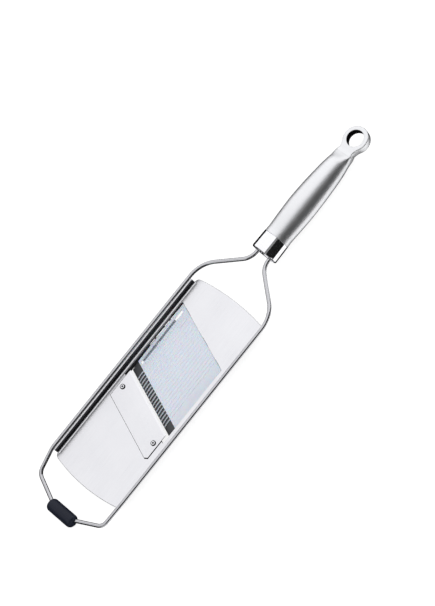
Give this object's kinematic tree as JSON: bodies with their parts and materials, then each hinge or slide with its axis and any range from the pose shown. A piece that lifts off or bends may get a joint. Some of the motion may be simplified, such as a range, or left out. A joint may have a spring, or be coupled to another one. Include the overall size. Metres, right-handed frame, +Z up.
{
  "type": "mandoline slicer",
  "caption": "Hand-held steel mandoline slicer with a slanted blade, an adjustable ribbed ramp in a channel plate, a wire frame with a foot, and a round handle with a hanging eye.",
  "frame": {"origin": "under the middle of the overall box, on the surface the slicer rests on", "axes": "+X towards the hanging eye, +Y across the plate towards the side the blade slants to, +Z up from the food face"},
  "size_m": [0.407, 0.0874, 0.0257],
  "materials": {
    "satin_steel": "satin stainless steel",
    "polished_steel": "mirror polished stainless steel",
    "handle_steel": "fine satin, brushed around the axis",
    "blade_steel": "finely ground, with a bright bevel",
    "foot_rubber": "black, soft sheen",
    "ramp_plastic": "frosted pale blue",
    "dark_plastic": "dark grey, matt",
    "anchor_resin": "grey filler inside the handle"
  },
  "bodies": {
    "frame": {"slicing_plate": "satin_steel", "frame_wire": "polished_steel", "end_foot": "foot_rubber", "handle_shell": "handle_steel", "handle_ferrule": "polished_steel", "handle_end_plug": "polished_steel", "wire_anchor": "anchor_resin", "hanging_eye": "satin_steel", "blade": "blade_steel", "blade_screw_left": "polished_steel", "blade_nut_left": "polished_steel", "blade_screw_right": "polished_steel", "blade_nut_right": "polished_steel", "cheek_left": "satin_steel", "cheek_right": "satin_steel", "hinge_pin": "polished_steel", "pin_cap_left": "polished_steel", "pin_cap_right": "polished_steel"},
    "ramp": {"depth_ramp": "ramp_plastic", "throat_strip": "dark_plastic"},
    "adjuster": {"depth_slide": "dark_plastic", "lift_rod": "polished_steel", "rod_cap_left": "polished_steel", "rod_cap_right": "polished_steel", "guide_stud": "polished_steel"}
  },
  "joints": [
    {"name": "slide_travel", "type": "slide", "parent": "frame", "child": "adjuster", "axis": [0.9988, 0, -0.0489], "range_m": [-0.006, 0.011]},
    {"name": "ramp_tilt", "type": "hinge", "parent": "frame", "child": "ramp", "pos_m": [-0.00925, 0, 0.00295], "axis": [-0.3371, -0.9415, 0], "range_deg": [-0.78, 1.42]}
  ],
  "couplings": [
    {"joint": "ramp_tilt", "follows": "slide_travel", "rad_per_m": 2.235}
  ]
}
